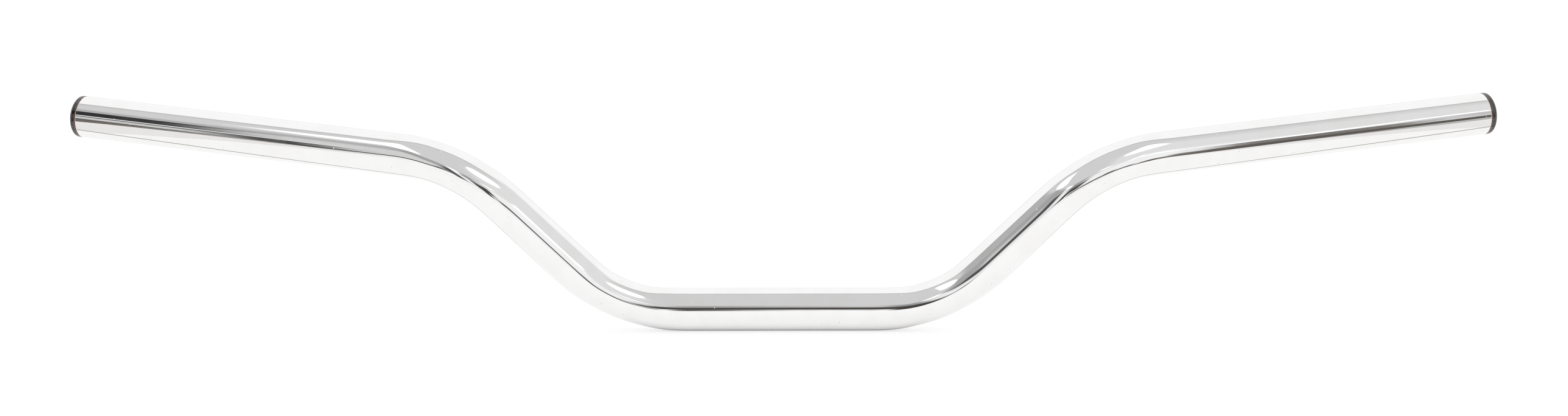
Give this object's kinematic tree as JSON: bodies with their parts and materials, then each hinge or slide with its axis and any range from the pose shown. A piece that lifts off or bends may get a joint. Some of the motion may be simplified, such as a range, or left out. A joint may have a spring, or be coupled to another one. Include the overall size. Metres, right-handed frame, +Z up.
{
  "type": "high-rise handlebar",
  "caption": "Chromed bent tube handlebar with a straight clamp section, angled risers, swept-back grip sections and black push-in end plugs.",
  "frame": {"origin": "middle of the straight clamp section, on the tube's centre line", "axes": "+X along the clamp section towards the rider's left hand, +Y back towards the rider, +Z up in the plane of the risers"},
  "size_m": [0.7544, 0.1031, 0.1117],
  "materials": {
    "chrome": "bright chrome plate on a polished steel tube",
    "black_plastic": "moulded black plastic with a low sheen"
  },
  "bodies": {
    "root": {"handlebar_tube": "chrome", "left_end_plug": "black_plastic", "right_end_plug": "black_plastic"}
  },
  "joints": []
}
